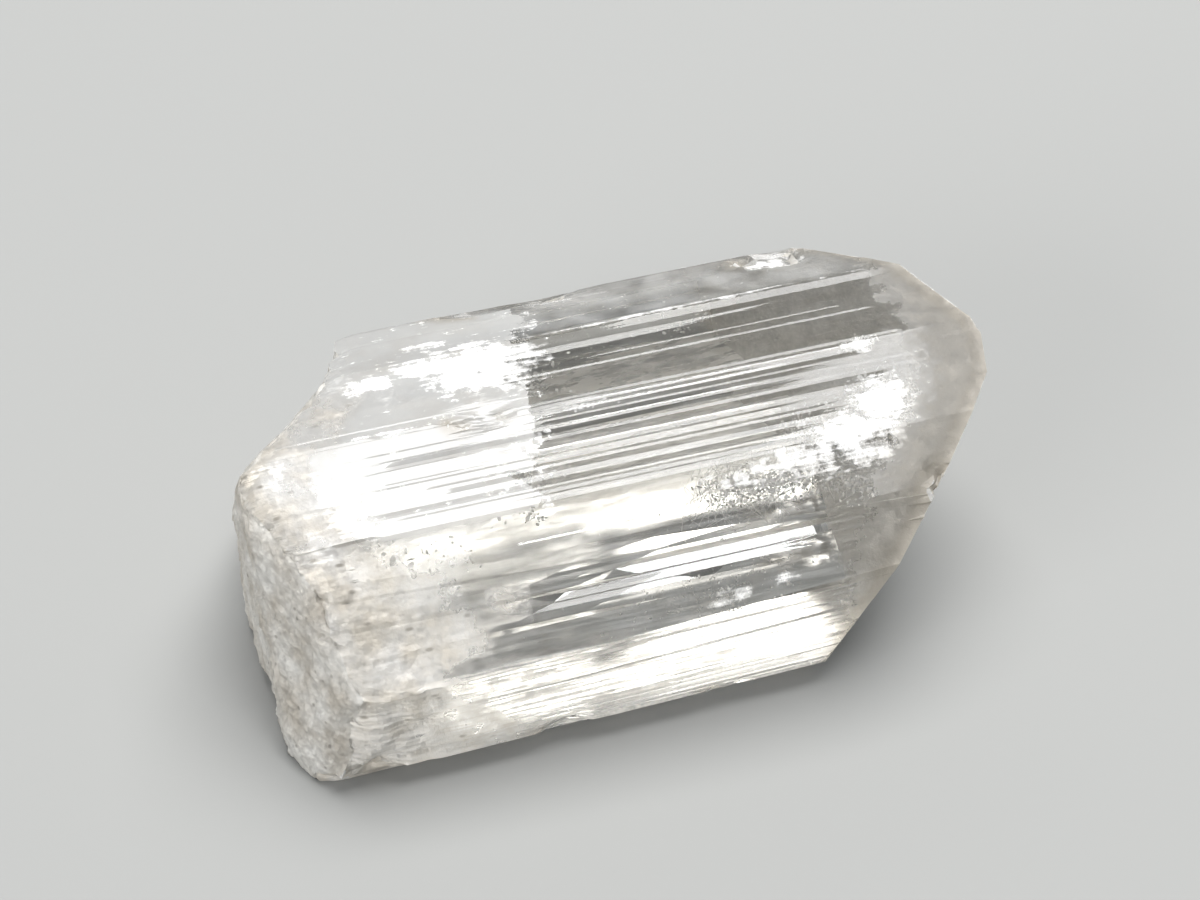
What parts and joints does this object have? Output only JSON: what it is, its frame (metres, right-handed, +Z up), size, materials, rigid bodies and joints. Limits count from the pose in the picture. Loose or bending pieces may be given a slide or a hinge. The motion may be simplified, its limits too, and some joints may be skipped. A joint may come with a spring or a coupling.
{
  "type": "danburite crystal",
  "caption": "Loose clear danburite crystal: a striated prism with a chisel-shaped dome termination at one end and a rough broken face at the other, lying on a prism face.",
  "frame": {"origin": "middle of the crystal's footprint box, on the surface it rests on", "axes": "+X along the crystal's c axis toward the termination, +Y away from the wide striated front faces, +Z up from the resting prism face"},
  "size_m": [0.0274, 0.0156, 0.0089],
  "materials": {
    "danburite": "vitreous natural crystal, clear on the prism faces, frosted on the termination and the broken end"
  },
  "bodies": {
    "root": {"danburite_crystal": "danburite"}
  },
  "joints": []
}
